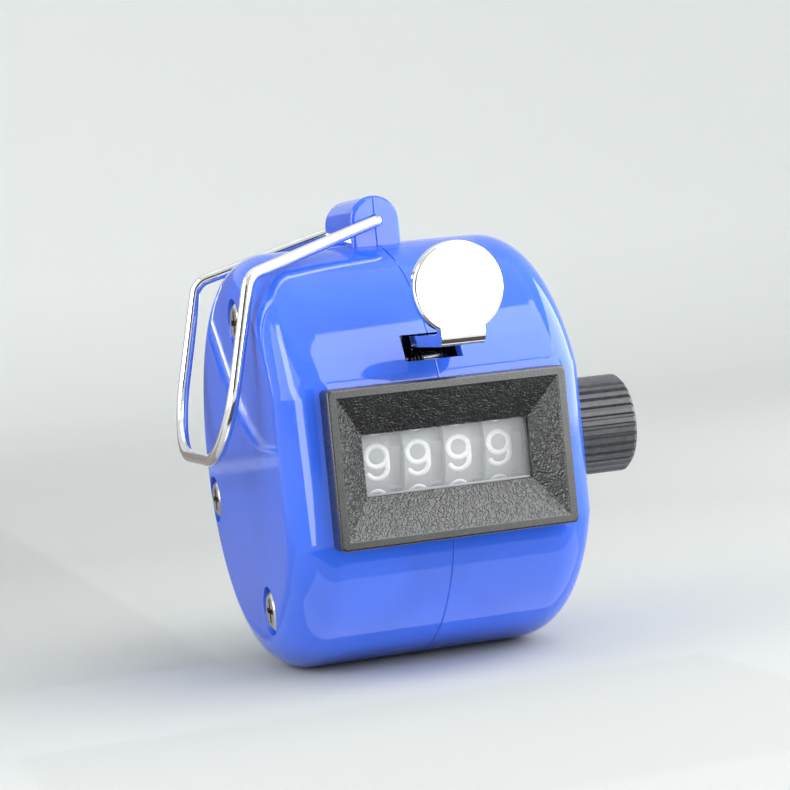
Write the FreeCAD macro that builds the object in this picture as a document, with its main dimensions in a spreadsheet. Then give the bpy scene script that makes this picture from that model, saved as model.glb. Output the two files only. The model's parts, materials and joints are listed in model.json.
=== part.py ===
"""Hand tally counter: a round two-shell case round a four-wheel counting mechanism.

Frame: X runs along the wheel shaft with +X at the reset knob, the window faces -Y, and +Z is up.
The origin is the centre of the drum-shaped case, on the seam between its two shells.
"""
import FreeCAD, Part
import math
import os

import Sketcher

Vector = FreeCAD.Vector
doc = FreeCAD.newDocument("tally_counter")

# ---------------------------------------------------------------- driving dimensions
DIMENSIONS = [
    # case
    ("drum_radius", 24.0),
    ("drum_half_width", 17.5),
    ("wall", 1.8),
    ("side_round", 5.0),
    ("seat_depth", 22.35),
    ("seat_blend", 4.0),
    ("seam_groove", 0.12),
    ("inner_round", 2.0),
    # finger-bail lug and wire
    ("lug_half_width", 2.95),
    ("lug_front", 4.0),
    ("lug_back", 7.6),
    ("lug_root", 20.0),
    ("lug_round", 0.5),
    ("bail_axis_height", 26.5),
    ("bail_hole_radius", 0.76),
    ("bail_wire_radius", 0.7),
    ("bail_half_span", 13.9),
    ("bail_shoulder_reach", 17.4),
    ("bail_shoulder_drop", 5.0),
    ("bail_leg_lean", 13.0),
    ("bail_hang", 20.8),
    ("bail_corner", 9.0),
    ("bail_shoulder_bend", 2.2),
    ("bail_end_bend", 0.85),
    # lever slot
    ("slot_half_width", 3.25),
    ("slot_low", 10.6),
    ("slot_high", 13.45),
    # bezel and window
    ("bezel_half_width", 13.45),
    ("bezel_half_height", 8.6),
    ("bezel_depth", 3.0),
    ("bezel_rim", 1.0),
    ("bezel_corner", 0.5),
    ("bezel_edge_round", 0.25),
    ("window_half_width", 9.45),
    ("window_half_height", 3.35),
    ("window_lip", 0.55),
    ("window_play", 0.15),
    ("peg_radius", 0.7),
    ("peg_reach", 11.8),
    ("peg_height", 6.4),
    ("peg_play", 0.05),
    ("lens_half_width", 10.1),
    ("lens_half_height", 4.0),
    ("lens_thickness", 0.95),
    # number wheels
    ("shaft_depth", 11.3),
    ("shaft_height", 0.7),
    ("shaft_radius", 1.5),
    ("wheel_radius", 8.15),
    ("rim_half_width", 1.55),
    ("rim_thickness", 1.15),
    ("wheel_recess", 2.2),
    ("wheel_pitch", 4.7),
    ("ratchet_width", 1.45),
    ("ratchet_root", 7.0),
    ("ratchet_tip", 7.75),
    ("tooth_start", -6.4),
    ("tooth_sweep", 30.0),
    ("hub_radius", 2.9),
    ("click_pin_offset", 3.6),
    ("click_pin_radius", 0.5),
    ("click_thickness", 1.2),
    ("running_gap", 0.04),
    ("press_gap", 0.02),
    ("shaft_overhang", 1.4),
    ("shaft_flat", 1.0),
    ("clip_core_radius", 1.1),
    ("clip_groove_width", 0.5),
    # knob
    ("knob_radius", 5.6),
    ("knob_inner_end", 17.8),
    ("knob_outer_end", 24.8),
    ("knob_hub_radius", 2.6),
    ("knob_hub_length", 2.4),
    ("knob_cap", 1.5),
    ("flute_depth", 0.38),
    # mechanism frame
    ("left_plate_inner", 10.4),
    ("right_plate_inner", 11.3),
    ("plate_thickness", 1.0),
    ("tie_radius", 1.3),
    ("tenon_radius", 0.9),
    ("tenon_reach", 1.3),
    ("plate_corner", 1.2),
    ("detent_bar_half", 1.5),
    ("frame_boss_radius", 2.4),
    ("frame_thread_radius", 0.95),
    ("frame_thread_depth", 3.2),
    # thumb lever
    ("pivot_depth", 15.5),
    ("pivot_height", 10.6),
    ("pivot_pin_radius", 0.9),
    ("disc_radius", 4.95),
    ("disc_height", 18.1),
    ("disc_face_depth", 32.2),
    ("lever_thickness", 1.2),
    ("shank_height", 12.1),
    ("shank_half_width", 2.4),
    ("arm_thickness", 0.8),
    ("arm_boss_radius", 2.1),
    ("arm_foot_radius", 1.7),
    ("left_arm_inner", 9.3),
    ("right_arm_inner", 10.2),
    # comb pawl
    ("pawl_pin_depth", 14.8),
    ("pawl_pin_drop", 10.5),
    ("pawl_pin_radius", 0.8),
    ("pawl_barrel_radius", 1.35),
    ("prong_width", 1.0),
    ("prong_step", 0.2),
    ("pawl_head_radius", 1.3),
    ("pawl_head_height", 0.25),
    # case screws
    ("screw_head_radius", 2.5),
    ("screw_shank_radius", 1.1),
    ("screw_head_height", 1.5),
    ("counterbore_radius", 2.8),
    ("counterbore_depth", 2.0),
    ("post_radius", 3.8),
    ("boss_radius", 2.6),
]

sheet = doc.addObject("Spreadsheet::Sheet", "sizes")
for row, (alias, number) in enumerate(DIMENSIONS, start=1):
    sheet.set(f"A{row}", alias)
    sheet.set(f"B{row}", str(number))
    sheet.setAlias(f"B{row}", alias)
doc.recompute()


def spelled(expression):
    """A sheet expression with each alias written as sizes.alias."""
    words = expression.replace("(", " ( ").replace(")", " ) ").split()
    aliases = {alias for alias, _ in DIMENSIONS}
    return " ".join("sizes." + w if w in aliases else w for w in words)


def size(expression):
    """The number of millimetres that an expression over the sheet's aliases gives."""
    answer = sheet.evalExpression(spelled(str(expression)))
    return float(getattr(answer, "Value", answer))


# ---------------------------------------------------------------- places in the YZ plane
CASE_SCREW_PLACES = [(-6.2, -16.3), (-2.7, 16.4), (17.0, -5.0)]
FRAME_SCREW_PLACES = [(0.0, 9.5), (0.0, -9.5)]
UPPER_TIE_PLACE = (-9.4, 12.5)
DETENT_BAR_PLACE = (1.5, -4.8)
WHEEL_NAMES = ["units", "tens", "hundreds", "thousands"]
WHEEL_CENTRES = [f"{1.5 - index} * wheel_pitch" for index in range(4)]
RIVET_PLACES = (-7.0, 7.0)
LEAF_THICKNESS = 0.25
KNOB_FLUTES = 32
RATCHET_TEETH = 10
PLATE_OUTLINE = [
    (-17.0, 13.6), (-12.0, 14.8), (-8.2, 14.6), (-6.4, 12.3), (3.5, 12.3),
    (3.5, -12.0), (-17.0, -12.0), (-19.0, -8.0), (-19.0, 9.0),
]
ARM_OUTLINE = [
    (-16.5, 13.2), (-18.4, 6.0), (-18.4, -6.0), (-17.9, -9.9), (-16.4, -11.5),
    (-13.4, -9.9), (-16.4, -4.5), (-16.4, 5.0), (-13.5, 10.4), (-13.5, 13.2),
]
CLICK_OUTLINE = [
    (-0.45, "shaft_radius + 0.08"), (0.45, "shaft_radius + 0.08"), (0.45, 3.1), (3.9, 2.75),
    (4.4, 3.6), (3.6, 4.45), (2.6, 4.1), (-0.45, 4.0),
]


# ---------------------------------------------------------------- sketch and body helpers
class Piece:
    """A PartDesign body whose sketches lie on its own origin planes, with sizes from the sheet."""

    def __init__(self, label):
        self.body = doc.addObject("PartDesign::Body", label)
        self.body.Label = label
        self.planes = {f.Role: f for f in self.body.Origin.OriginFeatures}

    def sketch(self, plane, offset="0"):
        """An empty sketch on XY, XZ or YZ, moved along the plane's normal by an expression."""
        made = self.body.newObject("Sketcher::SketchObject", "Sketch")
        made.AttachmentSupport = [(self.planes[plane + "_Plane"], "")]
        made.MapMode = "FlatFace"
        made.setExpression("AttachmentOffset.Base.z", spelled(offset))
        return made

    def pad(self, sketch, length, reverse=False, both=False):
        return self.extrude("PartDesign::Pad", sketch, length, reverse, both)

    def pocket(self, sketch, length, reverse=False, both=False):
        before = self.solid().Volume
        made = self.extrude("PartDesign::Pocket", sketch, length, reverse, both)
        if self.solid().Volume > before - 1e-6:
            raise RuntimeError(f"a pocket in {self.body.Label} cuts nothing")
        return made

    def extrude(self, kind, sketch, length, reverse, both):
        """A pad or pocket of a sketch, by a length that may follow the sheet."""
        made = self.body.newObject(kind, kind.split("::")[1])
        made.Profile = sketch
        made.setExpression("Length", spelled(length))
        made.Reversed = reverse
        made.Midplane = both
        sketch.Visibility = False
        doc.recompute()
        return made

    def dress(self, kind, name, radius, chosen):
        """A fillet or chamfer of the edges that chosen(edge) picks."""
        base = self.body.Tip
        edges = [f"Edge{i}" for i, e in enumerate(base.Shape.Edges, start=1) if chosen(e)]
        if not edges:
            raise RuntimeError(f"no edge to {name} in {self.body.Label}")
        made = self.body.newObject(kind, name)
        made.Base = (base, edges)
        made.setExpression("Radius" if "Fillet" in kind else "Size", spelled(radius))
        doc.recompute()
        return made

    def fillet(self, radius, chosen):
        return self.dress("PartDesign::Fillet", "Fillet", radius, chosen)

    def chamfer(self, radius, chosen):
        return self.dress("PartDesign::Chamfer", "Chamfer", radius, chosen)

    def polar(self, original, count):
        """A tooth or flute repeated round the wheel or knob axis, which runs along X."""
        pattern = self.body.newObject("PartDesign::PolarPattern", "PolarPattern")
        pattern.Originals = [original]
        pattern.Axis = (self.planes["X_Axis"], [""])
        pattern.Angle = 360
        pattern.Occurrences = count
        self.body.Tip = pattern
        doc.recompute()
        return pattern

    def solid(self):
        doc.recompute()
        return self.body.Shape

    def place(self, depth="0", height="0", along="0"):
        """Moves the whole body: along is X, depth is Y, height is Z."""
        self.body.setExpression("Placement.Base.x", spelled(along))
        self.body.setExpression("Placement.Base.y", spelled(depth))
        self.body.setExpression("Placement.Base.z", spelled(height))
        return self.body


def circle(sketch, across, up, radius):
    """A circle whose centre and radius follow the sheet."""
    centre = Vector(size(across), size(up), 0)
    index = sketch.addGeometry(Part.Circle(centre, Vector(0, 0, 1), size(radius)), False)
    bind(sketch, Sketcher.Constraint("DistanceX", -1, 1, index, 3, centre.x), across)
    bind(sketch, Sketcher.Constraint("DistanceY", -1, 1, index, 3, centre.y), up)
    bind(sketch, Sketcher.Constraint("Radius", index, size(radius)), radius)
    return index


def polygon(sketch, corners):
    """A closed outline of straight edges; each corner is a pair of numbers or expressions."""
    corners = [(str(across), str(up)) for across, up in corners]
    points = [Vector(size(across), size(up), 0) for across, up in corners]
    first = sketch.GeometryCount
    for start, end in zip(points, points[1:] + points[:1]):
        sketch.addGeometry(Part.LineSegment(start, end), False)
    for step, (across, up) in enumerate(corners):
        edge = first + step
        before = first + (step - 1) % len(corners)
        sketch.addConstraint(Sketcher.Constraint("Coincident", before, 2, edge, 1))
        bind(sketch, Sketcher.Constraint("DistanceX", -1, 1, edge, 1, points[step].x), across)
        bind(sketch, Sketcher.Constraint("DistanceY", -1, 1, edge, 1, points[step].y), up)


def rectangle(sketch, left, low, right, high):
    polygon(sketch, [(left, low), (right, low), (right, high), (left, high)])


def bind(sketch, constraint, expression):
    """Adds a constraint and, where the size is not a plain number, ties it to the sheet."""
    index = sketch.addConstraint(constraint)
    if any(c.isalpha() for c in expression):
        sketch.setExpression(f"Constraints[{index}]", spelled(expression))


def flat_edge_at(axis, value, tolerance=1e-4):
    """Picks the edges that lie wholly in one plane square to an axis."""
    def chosen(edge):
        box = edge.BoundBox
        low, high = getattr(box, axis + "Min"), getattr(box, axis + "Max")
        return abs(low - value) < tolerance and abs(high - value) < tolerance
    return chosen


def quarter_arc_square_to_y(radius):
    """Picks the quarter circles of one radius that lie in planes square to Y."""
    def chosen(edge):
        box = edge.BoundBox
        return (box.YLength < 1e-4 and abs(box.XLength - size(radius)) < 1e-3
                and abs(box.ZLength - size(radius)) < 1e-3)
    return chosen


# ---------------------------------------------------------------- case shells
def drum_outline(sketch, radius, front):
    """A circle about the origin cut off by the flat window seat at y = -front."""
    reach, depth = size(radius), size(front)
    half = math.sqrt(reach**2 - depth**2)
    low, back, high = Vector(-depth, -half, 0), Vector(reach, 0, 0), Vector(-depth, half, 0)
    sketch.addGeometry(Part.Arc(low, back, high), False)
    sketch.addGeometry(Part.LineSegment(high, low), False)
    sketch.addConstraint(Sketcher.Constraint("Coincident", 0, 3, -1, 1))
    sketch.addConstraint(Sketcher.Constraint("Coincident", 0, 2, 1, 1))
    sketch.addConstraint(Sketcher.Constraint("Coincident", 1, 2, 0, 1))
    sketch.addConstraint(Sketcher.Constraint("Vertical", 1))
    bind(sketch, Sketcher.Constraint("Radius", 0, reach), radius)
    bind(sketch, Sketcher.Constraint("DistanceX", -1, 1, 1, 1, -depth), "0 - (" + front + ")")


def shell(label, side):
    """One half of the case. side is -1 for the left shell and +1 for the right one."""
    left = side < 0
    piece = Piece(label)
    outer = piece.sketch("YZ")
    drum_outline(outer, "drum_radius", "seat_depth")
    piece.pad(outer, "drum_half_width", reverse=left)
    piece.fillet("seat_blend", lambda e: e.BoundBox.XLength > size("drum_half_width") - 0.01
                 and e.BoundBox.YMax < -size("seat_depth") + 1)
    piece.fillet("side_round", flat_edge_at("X", side * size("drum_half_width")))
    half_lug(piece, side)
    piece.chamfer("seam_groove", flat_edge_at("X", 0))

    cavity = piece.sketch("YZ")
    drum_outline(cavity, "drum_radius - wall", "seat_depth - wall")
    piece.pocket(cavity, "drum_half_width - wall", reverse=not left)
    piece.fillet("inner_round", flat_edge_at("X", side * size("drum_half_width - wall")))
    posts = piece.sketch("YZ")
    for y, z in CASE_SCREW_PLACES:
        circle(posts, str(y), str(z), "post_radius" if left else "boss_radius")
    piece.pad(posts, "drum_half_width - 0.5 * wall", reverse=left)
    if left:
        screw_ways(piece)
    else:
        threads_and_knob_hole(piece)
    openings(piece, side)
    return piece.place()


def half_lug(piece, side):
    """Half of the round-topped lug that the bail's ends turn in."""
    lug = piece.sketch("XZ", "0 - lug_back")
    rise = size("bail_axis_height")
    half = size("lug_half_width")
    root = size("lug_root")
    corner, foot = Vector(side * half, rise, 0), Vector(side * half, root, 0)
    crown, base = Vector(0, rise + half, 0), Vector(0, root, 0)
    slant = Vector(side * half * math.sqrt(0.5), rise + half * math.sqrt(0.5), 0)
    lug.addGeometry(Part.Arc(crown, slant, corner), False)
    for start, end in [(corner, foot), (foot, base), (base, crown)]:
        lug.addGeometry(Part.LineSegment(start, end), False)
    piece.pad(lug, "lug_front + lug_back")
    piece.fillet("lug_round", quarter_arc_square_to_y("lug_half_width"))


def screw_ways(piece):
    """Clearance holes and counterbores for the case screws, in the left shell."""
    bores = piece.sketch("YZ")
    heads = piece.sketch("YZ", "counterbore_depth - drum_half_width")
    for y, z in CASE_SCREW_PLACES:
        circle(bores, str(y), str(z), "screw_shank_radius + 0.2")
        circle(heads, str(y), str(z), "counterbore_radius")
    piece.pocket(bores, "drum_half_width + 1")
    piece.pocket(heads, "counterbore_depth + 1")


def threads_and_knob_hole(piece):
    """Screw bores, the bosses that carry the frame, and the knob's hole, in the right shell."""
    bores = piece.sketch("YZ")
    for y, z in CASE_SCREW_PLACES:
        circle(bores, str(y), str(z), "screw_shank_radius + press_gap")
    piece.pocket(bores, "8", reverse=True)
    mounts = piece.sketch("YZ", "right_plate_inner + plate_thickness")
    threads = piece.sketch("YZ", "right_plate_inner + plate_thickness")
    for y, z in FRAME_SCREW_PLACES:
        circle(mounts, str(y), str(z), "frame_boss_radius")
        circle(threads, str(y), str(z), "frame_thread_radius")
    piece.pad(mounts, "drum_half_width - right_plate_inner - plate_thickness - 0.5 * wall")
    piece.pocket(threads, "frame_thread_depth", reverse=True)
    knob_hole = piece.sketch("YZ", "drum_half_width - 2 * wall")
    circle(knob_hole, "0 - shaft_depth", "shaft_height", "knob_hub_radius + 2 * running_gap")
    piece.pocket(knob_hole, "3 * wall", reverse=True)


def openings(piece, side):
    """Half of every opening the seam runs through, and the holes for the bezel's pegs."""
    edge, sign = ("0 - ", " - ") if side < 0 else ("0 + ", " + ")
    slot = piece.sketch("XZ", "pivot_depth + 1.5")
    rectangle(slot, "0", "slot_low", edge + "slot_half_width", "slot_high")
    piece.pocket(slot, "10", reverse=True)
    window = piece.sketch("XZ", "seat_depth - wall - 1")
    rectangle(window, "0", "0 - window_half_height - 0.1",
              edge + "window_half_width" + sign + "window_play", "window_half_height + 0.1")
    piece.pocket(window, "3 * wall", reverse=True)
    rebate = piece.sketch("XZ", "seat_depth - lens_thickness - 0.1")
    rectangle(rebate, "0", "0 - lens_half_height - window_play",
              edge + "lens_half_width" + sign + "window_play", "lens_half_height + window_play")
    piece.pocket(rebate, "2 * wall", reverse=True)
    pegs = piece.sketch("XZ", "seat_depth - wall - 1")
    for up in ("peg_height", "0 - peg_height"):
        circle(pegs, edge + "peg_reach", up, "peg_radius + peg_play")
    piece.pocket(pegs, "3 * wall", reverse=True)
    hinge = piece.sketch("XZ", "0 - lug_back - 1")
    circle(hinge, "0", "bail_axis_height", "bail_hole_radius")
    piece.pocket(hinge, "lug_front + lug_back + 2", reverse=True)


# ---------------------------------------------------------------- window
def window_bezel():
    """Black frame: flat rim, four slopes down to the window, and four pegs through the case."""
    piece = Piece("window_bezel")
    block = piece.sketch("XZ", "seat_depth")
    rectangle(block, "0 - bezel_half_width", "0 - bezel_half_height",
              "bezel_half_width", "bezel_half_height")
    piece.pad(block, "bezel_depth")
    front = -size("seat_depth + bezel_depth")
    piece.fillet("bezel_corner", lambda e: e.BoundBox.YLength > size("bezel_depth") - 0.01)
    piece.fillet("bezel_edge_round", flat_edge_at("Y", front))
    mouth = piece.sketch("XZ", "seat_depth + bezel_depth")
    rectangle(mouth, "bezel_rim - bezel_half_width", "bezel_rim - bezel_half_height",
              "bezel_half_width - bezel_rim", "bezel_half_height - bezel_rim")
    throat = piece.sketch("XZ", "seat_depth + window_lip")
    rectangle(throat, "0 - window_half_width", "0 - window_half_height",
              "window_half_width", "window_half_height")
    slopes = piece.body.newObject("PartDesign::SubtractiveLoft", "Slopes")
    slopes.Profile = mouth
    slopes.Sections = [throat]
    slopes.Ruled = True
    doc.recompute()
    opening = piece.sketch("XZ", "seat_depth + bezel_depth")
    rectangle(opening, "0 - window_half_width", "0 - window_half_height",
              "window_half_width", "window_half_height")
    piece.pocket(opening, "bezel_depth + 1")
    pegs = piece.sketch("XZ", "seat_depth")
    for across in ("peg_reach", "0 - peg_reach"):
        for up in ("peg_height", "0 - peg_height"):
            circle(pegs, across, up, "peg_radius")
    piece.pad(pegs, "wall + 0.4", reverse=True)
    return piece.place()


def window_lens():
    piece = Piece("window_lens")
    plate = piece.sketch("XZ", "seat_depth - lens_thickness - 0.05")
    rectangle(plate, "0 - lens_half_width", "0 - lens_half_height",
              "lens_half_width", "lens_half_height")
    piece.pad(plate, "lens_thickness")
    return piece.place()


# ---------------------------------------------------------------- number wheels
def wheel(index):
    """A digit wheel: rim, web and hub, with a ten-tooth ratchet on its right side."""
    name = WHEEL_NAMES[index]
    piece = Piece(name + "_wheel")
    disc = piece.sketch("YZ", "0 - rim_half_width")
    circle(disc, "0", "0", "wheel_radius")
    piece.pad(disc, "2 * rim_half_width")
    hollow = piece.sketch("YZ", "0 - rim_half_width")
    circle(hollow, "0", "0", "wheel_radius - rim_thickness")
    circle(hollow, "0", "0", "hub_radius")
    piece.pocket(hollow, "wheel_recess", reverse=True)
    root = piece.sketch("YZ", "rim_half_width")
    circle(root, "0", "0", "ratchet_root")
    piece.pad(root, "ratchet_width")
    tooth = piece.sketch("YZ", "rim_half_width")
    start = math.radians(size("tooth_start"))
    end = start + math.radians(size("tooth_sweep"))
    inner, tip = size("ratchet_root") - 0.3, size("ratchet_tip")
    corners = [(inner, start), (tip, start), (inner, end)]
    polygon(tooth, [(round(r * math.cos(a), 4), round(r * math.sin(a), 4)) for r, a in corners])
    cog = piece.pad(tooth, "ratchet_width")
    piece.polar(cog, RATCHET_TEETH)
    bore = piece.sketch("YZ", "0 - rim_half_width")
    circle(bore, "0", "0", "shaft_radius + running_gap")
    piece.pocket(bore, "2 * rim_half_width + ratchet_width", reverse=True)
    notch = piece.sketch("YZ", "0 - rim_half_width")
    rectangle(notch, "0 - 0.6", "1.0", "0.6", "hub_radius + 0.5")
    piece.pocket(notch, "1.6", reverse=True)
    stub = piece.sketch("YZ", "wheel_recess - rim_half_width")
    circle(stub, "click_pin_offset", "click_pin_offset", "click_pin_radius")
    piece.pad(stub, "1.9", reverse=True)
    return piece.place(depth="0 - shaft_depth", height="shaft_height", along=WHEEL_CENTRES[index])


def reset_click(index):
    """The dog in a wheel that drops in the shaft's groove: an arm on the wheel's stub."""
    piece = Piece(WHEEL_NAMES[index] + "_reset_click")
    arm = piece.sketch("YZ", "0.3 - rim_half_width")
    polygon(arm, CLICK_OUTLINE)
    piece.pad(arm, "click_thickness")
    hole = piece.sketch("YZ", "0.3 - rim_half_width")
    circle(hole, "click_pin_offset", "click_pin_offset", "click_pin_radius + running_gap")
    piece.pocket(hole, "click_thickness", reverse=True)
    return piece.place(depth="0 - shaft_depth", height="shaft_height", along=WHEEL_CENTRES[index])


# ---------------------------------------------------------------- reset shaft and knob
def reset_shaft():
    """Steel shaft with a pick-up groove, a flat for the knob and two clip grooves."""
    piece = Piece("reset_shaft")
    rod = piece.sketch("YZ", "0 - left_plate_inner - plate_thickness - shaft_overhang")
    circle(rod, "0", "0", "shaft_radius")
    piece.pad(rod, "left_plate_inner + plate_thickness + shaft_overhang + knob_outer_end - knob_cap")
    groove = piece.sketch("YZ", "0 - 2 * wheel_pitch")
    rectangle(groove, "0 - 0.45", "0 - shaft_radius - 1", "0.45", "0.6 - shaft_radius")
    piece.pocket(groove, "4 * wheel_pitch", reverse=True)
    flat = piece.sketch("YZ", "knob_inner_end")
    rectangle(flat, "0 - 2", "shaft_flat", "2", "2")
    piece.pocket(flat, "knob_outer_end - knob_inner_end", reverse=True)
    for start in ("0 - left_plate_inner - plate_thickness - 0.65",
                  "right_plate_inner + plate_thickness + 0.55"):
        seat = piece.sketch("YZ", start)
        circle(seat, "0", "0", "shaft_radius + 0.5")
        circle(seat, "0", "0", "clip_core_radius")
        piece.pocket(seat, "clip_groove_width", reverse=True)
    return piece.place(depth="0 - shaft_depth", height="shaft_height")


def reset_knob():
    """Ribbed knob with a hub that turns in the case and a D-shaped hole for the shaft."""
    piece = Piece("reset_knob")
    cap = piece.sketch("YZ", "knob_inner_end")
    circle(cap, "0", "0", "knob_radius")
    piece.pad(cap, "knob_outer_end - knob_inner_end")
    piece.chamfer("0.45", flat_edge_at("X", size("knob_outer_end")))
    piece.chamfer("0.3", flat_edge_at("X", size("knob_inner_end")))
    flute = piece.sketch("YZ", "knob_inner_end")
    polygon(flute, [("knob_radius + 0.3", -0.45), ("knob_radius + 0.3", 0.45),
                    ("knob_radius - flute_depth", 0.12), ("knob_radius - flute_depth", -0.12)])
    groove = piece.pocket(flute, "knob_outer_end - knob_inner_end", reverse=True)
    piece.polar(groove, KNOB_FLUTES)
    hub = piece.sketch("YZ", "knob_inner_end")
    circle(hub, "0", "0", "knob_hub_radius")
    piece.pad(hub, "knob_hub_length", reverse=True)
    bore = piece.sketch("YZ", "knob_inner_end - knob_hub_length")
    circle(bore, "0", "0", "shaft_radius")
    piece.pocket(bore, "knob_hub_length", reverse=True)
    socket = piece.sketch("YZ", "knob_inner_end")
    reach, flat = size("shaft_radius"), size("shaft_flat")
    half = math.sqrt(reach**2 - flat**2)
    left, right = Vector(-half, flat, 0), Vector(half, flat, 0)
    socket.addGeometry(Part.Arc(left, Vector(0, -reach, 0), right), False)
    socket.addGeometry(Part.LineSegment(right, left), False)
    piece.pocket(socket, "knob_outer_end - knob_inner_end - knob_cap", reverse=True)
    return piece.place(depth="0 - shaft_depth", height="shaft_height")


def ring(label, start, length, outer, inner):
    """A plain washer or sleeve round the shaft, starting at x = start."""
    piece = Piece(label)
    profile = piece.sketch("YZ", start)
    circle(profile, "0", "0", outer)
    circle(profile, "0", "0", inner)
    piece.pad(profile, length)
    return piece.place(depth="0 - shaft_depth", height="shaft_height")


def cylinder(name, start, length, radius, depth, height):
    """A Part cylinder along X, tied to the sheet."""
    made = doc.addObject("Part::Cylinder", name)
    made.setExpression("Radius", spelled(radius))
    made.setExpression("Height", spelled(length))
    made.Placement = FreeCAD.Placement(Vector(), FreeCAD.Rotation(Vector(0, 1, 0), 90))
    made.setExpression("Placement.Base.x", spelled(start))
    made.setExpression("Placement.Base.y", spelled(str(depth)))
    made.setExpression("Placement.Base.z", spelled(str(height)))
    return made


def box(name, corner, sides):
    """A Part box from its low corner, tied to the sheet."""
    made = doc.addObject("Part::Box", name)
    for key, expression in zip(("Length", "Width", "Height"), sides):
        made.setExpression(key, spelled(str(expression)))
    for key, expression in zip("xyz", corner):
        made.setExpression("Placement.Base." + key, spelled(str(expression)))
    return made


def fuse(label, parts):
    made = doc.addObject("Part::MultiFuse", label)
    made.Label = label
    made.Shapes = parts
    return made


def cut(label, base, tool):
    made = doc.addObject("Part::Cut", label)
    made.Label = label
    made.Base = base
    made.Tool = tool
    return made


def clip_group(label, starts, thickness, seat_radius, outer_radius, depth, height):
    """Identical E-clips: open rings that snap in a shaft's groove."""
    clips = []
    for start in starts:
        disc = cylinder("clip_disc", start, thickness, outer_radius, depth, height)
        hole = cylinder("clip_seat", start + " - 1", thickness + " + 2", seat_radius, depth, height)
        mouth = box("clip_mouth", (start + " - 1", f"{depth} - 0.8", height),
                    (thickness + " + 2", "1.6", "4"))
        clips.append(cut("clip", disc, fuse("clip_void", [hole, mouth])))
    compound = doc.addObject("Part::Compound", label)
    compound.Label = label
    compound.Links = clips
    return compound


# ---------------------------------------------------------------- mechanism frame
def frame_plate(label, inner, side):
    """A side plate with holes for the shaft, the pins, the bars and the frame screws."""
    piece = Piece(label)
    start = inner if side > 0 else "0 - " + inner
    outline = piece.sketch("YZ", start)
    polygon(outline, PLATE_OUTLINE)
    piece.pad(outline, "plate_thickness", reverse=side < 0)
    piece.fillet("plate_corner", lambda e: abs(e.BoundBox.XLength - size("plate_thickness")) < 1e-3)
    holes = piece.sketch("YZ", start)
    circle(holes, "0 - shaft_depth", "shaft_height", "shaft_radius + running_gap")
    circle(holes, "0 - pivot_depth", "pivot_height", "pivot_pin_radius + press_gap")
    for y, z in (UPPER_TIE_PLACE, DETENT_BAR_PLACE):
        circle(holes, str(y), str(z), "tenon_radius + press_gap")
    for y, z in FRAME_SCREW_PLACES:
        circle(holes, str(y), str(z), "1.05" if side > 0 else "2.3")
    circle(holes, "0 - 4.6", "0", "1.2")
    piece.pocket(holes, "plate_thickness", reverse=side > 0)
    return piece.place()


def between(left, right):
    """Start and length of something that runs from the left plate to the right one."""
    start = f"0 - left_plate_inner - {left}"
    return start, f"left_plate_inner + right_plate_inner + {left} + {right}"


def upper_tie_bar():
    y, z = UPPER_TIE_PLACE
    bar = cylinder("tie_body", *between(0, 0), "tie_radius", y, z)
    tenon = cylinder("tie_tenons", *between("tenon_reach", "tenon_reach"), "tenon_radius", y, z)
    return fuse("upper_tie_bar", [bar, tenon])


def detent_bar():
    """Square bar behind the wheels that carries the leaf comb, riveted in the plates."""
    y, z = DETENT_BAR_PLACE
    start, length = between(0, 0)
    corner = (start, f"{y} - detent_bar_half", f"{z} - detent_bar_half")
    bar = box("bar_body", corner, (length, "2 * detent_bar_half", "2 * detent_bar_half"))
    tenon = cylinder("bar_tenons", *between("tenon_reach", "tenon_reach"), "tenon_radius", y, z)
    blank = fuse("bar_blank", [bar, tenon])
    drills = []
    along_y = FreeCAD.Rotation(Vector(1, 0, 0), 90)
    for x in RIVET_PLACES:
        drill = doc.addObject("Part::Cylinder", "rivet_hole")
        drill.Radius = 0.6
        drill.Height = 4
        drill.Placement = FreeCAD.Placement(Vector(x, y + 2, z), along_y)
        drills.append(drill)
    return cut("detent_bar", blank, fuse("rivet_holes", drills))


def detent_rivets():
    """Two rivets, heads on the leaf comb, through the bar."""
    y, z = DETENT_BAR_PLACE
    front = y - size("detent_bar_half") - LEAF_THICKNESS
    profile = [Vector(0, 0, 0), Vector(1.1, 0, 0), Vector(0.9, 0.5, 0), Vector(0, 0.7, 0)]
    rivets = []
    for x in RIVET_PLACES:
        outline = Part.makePolygon(profile + profile[:1])
        head = Part.Face(outline).revolve(Vector(), Vector(0, 1, 0), 360)
        shank = Part.makeCylinder(0.58, 3.6, Vector(0, -3.6, 0), Vector(0, 1, 0))
        rivet = head.fuse(shank).removeSplitter()
        rivet.rotate(Vector(), Vector(0, 0, 1), 180)
        rivet.translate(Vector(x, front, z))
        rivets.append(rivet)
    return feature("detent_rivets", Part.makeCompound(rivets))


def feature(label, shape):
    """A finished Part shape as a document object."""
    made = doc.addObject("Part::Feature", label)
    made.Label = label
    made.Shape = shape
    made.Placement = FreeCAD.Placement()
    return made


def frame_screws():
    """Two pan-head screws that hold the right plate to the bosses of the right shell."""
    screws = []
    under_head = "right_plate_inner"
    for y, z in FRAME_SCREW_PLACES:
        head = cylinder("frame_screw_head", under_head + " - 0.9", "0.9", "1.9", y, z)
        shank = cylinder("frame_screw_shank", under_head + " - 0.2", "plate_thickness + 3",
                         "frame_thread_radius - press_gap", y, z)
        slot = box("frame_screw_slot", (under_head + " - 1", f"{y} - 2", f"{z} - 0.25"), (0.5, 4, 0.5))
        screws.append(cut("frame_screw", fuse("frame_screw_blank", [head, shank]), slot))
    compound = doc.addObject("Part::Compound", "frame_screws")
    compound.Label = "frame_screws"
    compound.Links = screws
    return compound


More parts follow.
